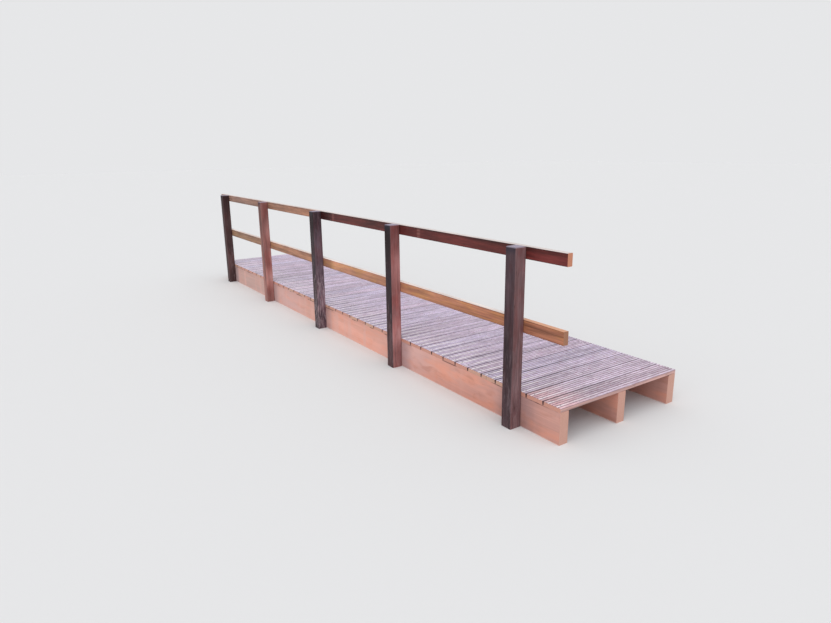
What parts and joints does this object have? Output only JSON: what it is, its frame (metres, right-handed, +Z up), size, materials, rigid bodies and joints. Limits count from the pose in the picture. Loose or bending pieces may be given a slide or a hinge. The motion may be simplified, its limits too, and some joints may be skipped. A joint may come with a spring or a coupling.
{
  "type": "wooden footbridge",
  "caption": "Straight timber footbridge: beams on edge under a deck of grooved cross planks, with a post-and-two-rail railing along one side.",
  "frame": {"origin": "middle of the bridge's bounding box in X and Y, at the level of the undersides of stringers and posts", "axes": "+X along the bridge, towards the end with the longer railing overhang; +Y across it, away from the railing; +Z up"},
  "size_m": [6.444, 1.26, 1.203],
  "materials": {
    "deck_planks": "grooved hardwood, wet and slightly greyed",
    "stringers": "planed hardwood, pale salmon",
    "cross_members": "sawn hardwood",
    "posts": "planed dark red-brown hardwood",
    "top_rails": "planed red-brown hardwood",
    "middle_rails": "planed orange-brown hardwood"
  },
  "bodies": {
    "root": {"cross_member_1": "cross_members", "cross_member_2": "cross_members", "cross_member_3": "cross_members", "cross_member_4": "cross_members", "cross_member_5": "cross_members", "deck_planks_01_02": "deck_planks", "deck_planks_03_04": "deck_planks", "deck_planks_05_06": "deck_planks", "deck_planks_07_08": "deck_planks", "deck_planks_09_10": "deck_planks", "deck_planks_11_12": "deck_planks", "deck_planks_13_14": "deck_planks", "deck_planks_15_16": "deck_planks", "deck_planks_17_18": "deck_planks", "deck_planks_19_20": "deck_planks", "deck_planks_21_22": "deck_planks", "deck_planks_23_24": "deck_planks", "deck_planks_25_26": "deck_planks", "deck_planks_27_28": "deck_planks", "deck_planks_29_30": "deck_planks", "deck_planks_31_32": "deck_planks", "deck_planks_33_34": "deck_planks", "deck_planks_35_36": "deck_planks", "deck_planks_37_38": "deck_planks", "deck_planks_39_40": "deck_planks", "deck_planks_41_42": "deck_planks", "deck_planks_43_43": "deck_planks", "middle_rail_far": "middle_rails", "middle_rail_near": "middle_rails", "post_1": "posts", "post_2": "posts", "post_3": "posts", "post_4": "posts", "post_5": "posts", "stringer_inner": "stringers", "stringer_middle": "stringers", "stringer_outer": "stringers", "top_rail_far": "top_rails", "top_rail_near": "top_rails"}
  },
  "joints": []
}
